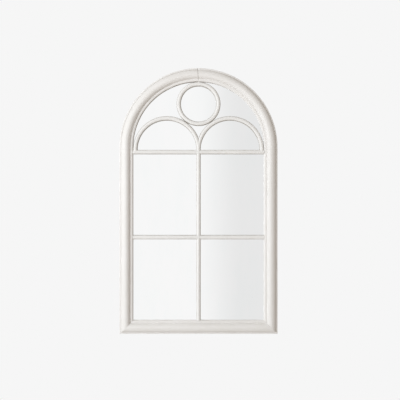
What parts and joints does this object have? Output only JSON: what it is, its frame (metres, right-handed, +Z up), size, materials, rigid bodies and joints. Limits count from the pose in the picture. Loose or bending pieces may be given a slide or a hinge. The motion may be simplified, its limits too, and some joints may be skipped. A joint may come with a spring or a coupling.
{
  "type": "arched window mirror",
  "caption": "Arched wall mirror like a window: off-white moulded frame, half-round glazing bars with two lobes and a ring, silvered glass, board held by turn buttons, wall rings.",
  "frame": {"origin": "bottom centre of the whole object's box: on the centre line, level with the underside of the bottom rail, halfway between the moulding's crest and the wall", "axes": "+Z up, the mirror faces -Y, +X to the right of someone who faces it, +Y towards the wall"},
  "size_m": [0.72, 0.041, 1.21],
  "materials": {
    "frame_paint": "warm off-white brushed paint on wood",
    "bar_paint": "warm off-white paint on wood",
    "mirror": "polished silvered glass",
    "board": "brown hardboard",
    "dowel_wood": "bare beech",
    "zinc_steel": "bright zinc plate",
    "bumper_rubber": "matt rubber"
  },
  "bodies": {
    "mirror": {"left_stile": "frame_paint", "right_stile": "frame_paint", "left_arch_quadrant": "frame_paint", "right_arch_quadrant": "frame_paint", "bottom_rail": "frame_paint", "lower_mullion": "bar_paint", "upper_mullion": "bar_paint", "left_mid_bar": "bar_paint", "right_mid_bar": "bar_paint", "left_transom_bar": "bar_paint", "right_transom_bar": "bar_paint", "left_lobe": "bar_paint", "right_lobe": "bar_paint", "tracery_ring": "bar_paint", "mirror_glass": "mirror", "backing_board": "board", "bar_dowels": "dowel_wood", "frame_dowels": "dowel_wood", "corner_nails": "zinc_steel", "turn_button_screws": "zinc_steel", "hanger_screws": "zinc_steel", "left_hanger_strap": "zinc_steel", "right_hanger_strap": "zinc_steel", "wall_bumpers": "bumper_rubber"},
    "left_ring": {"left_hanger_ring": "zinc_steel"},
    "right_ring": {"right_hanger_ring": "zinc_steel"},
    "button_1": {"turn_button_1": "zinc_steel"},
    "button_2": {"turn_button_2": "zinc_steel"},
    "button_3": {"turn_button_3": "zinc_steel"},
    "button_4": {"turn_button_4": "zinc_steel"},
    "button_5": {"turn_button_5": "zinc_steel"},
    "button_6": {"turn_button_6": "zinc_steel"},
    "button_7": {"turn_button_7": "zinc_steel"},
    "button_8": {"turn_button_8": "zinc_steel"},
    "button_9": {"turn_button_9": "zinc_steel"},
    "button_10": {"turn_button_10": "zinc_steel"}
  },
  "joints": [
    {"name": "left_ring_swing", "type": "hinge", "parent": "mirror", "child": "left_ring", "pos_m": [-0.333, 0.01628, 0.79], "axis": [1, 0, 0], "range_deg": [0, 180]},
    {"name": "right_ring_swing", "type": "hinge", "parent": "mirror", "child": "right_ring", "pos_m": [0.333, 0.01628, 0.79], "axis": [1, 0, 0], "range_deg": [0, 180]},
    {"name": "button_1_turn", "type": "hinge", "parent": "mirror", "child": "button_1", "pos_m": [0.322, 0.0135, 0.23], "axis": [0, -1, 0], "continuous": true},
    {"name": "button_2_turn", "type": "hinge", "parent": "mirror", "child": "button_2", "pos_m": [-0.322, 0.0135, 0.23], "axis": [0, -1, 0], "continuous": true},
    {"name": "button_3_turn", "type": "hinge", "parent": "mirror", "child": "button_3", "pos_m": [0.322, 0.0135, 0.61], "axis": [0, -1, 0], "continuous": true},
    {"name": "button_4_turn", "type": "hinge", "parent": "mirror", "child": "button_4", "pos_m": [-0.322, 0.0135, 0.61], "axis": [0, -1, 0], "continuous": true},
    {"name": "button_5_turn", "type": "hinge", "parent": "mirror", "child": "button_5", "pos_m": [0.27886, 0.0135, 1.011], "axis": [0, -1, 0], "continuous": true},
    {"name": "button_6_turn", "type": "hinge", "parent": "mirror", "child": "button_6", "pos_m": [-0.27886, 0.0135, 1.011], "axis": [0, -1, 0], "continuous": true},
    {"name": "button_7_turn", "type": "hinge", "parent": "mirror", "child": "button_7", "pos_m": [0.13608, 0.0135, 1.14183], "axis": [0, -1, 0], "continuous": true},
    {"name": "button_8_turn", "type": "hinge", "parent": "mirror", "child": "button_8", "pos_m": [-0.13608, 0.0135, 1.14183], "axis": [0, -1, 0], "continuous": true},
    {"name": "button_9_turn", "type": "hinge", "parent": "mirror", "child": "button_9", "pos_m": [-0.16, 0.0135, 0.038], "axis": [0, -1, 0], "continuous": true},
    {"name": "button_10_turn", "type": "hinge", "parent": "mirror", "child": "button_10", "pos_m": [0.16, 0.0135, 0.038], "axis": [0, -1, 0], "continuous": true}
  ]
}
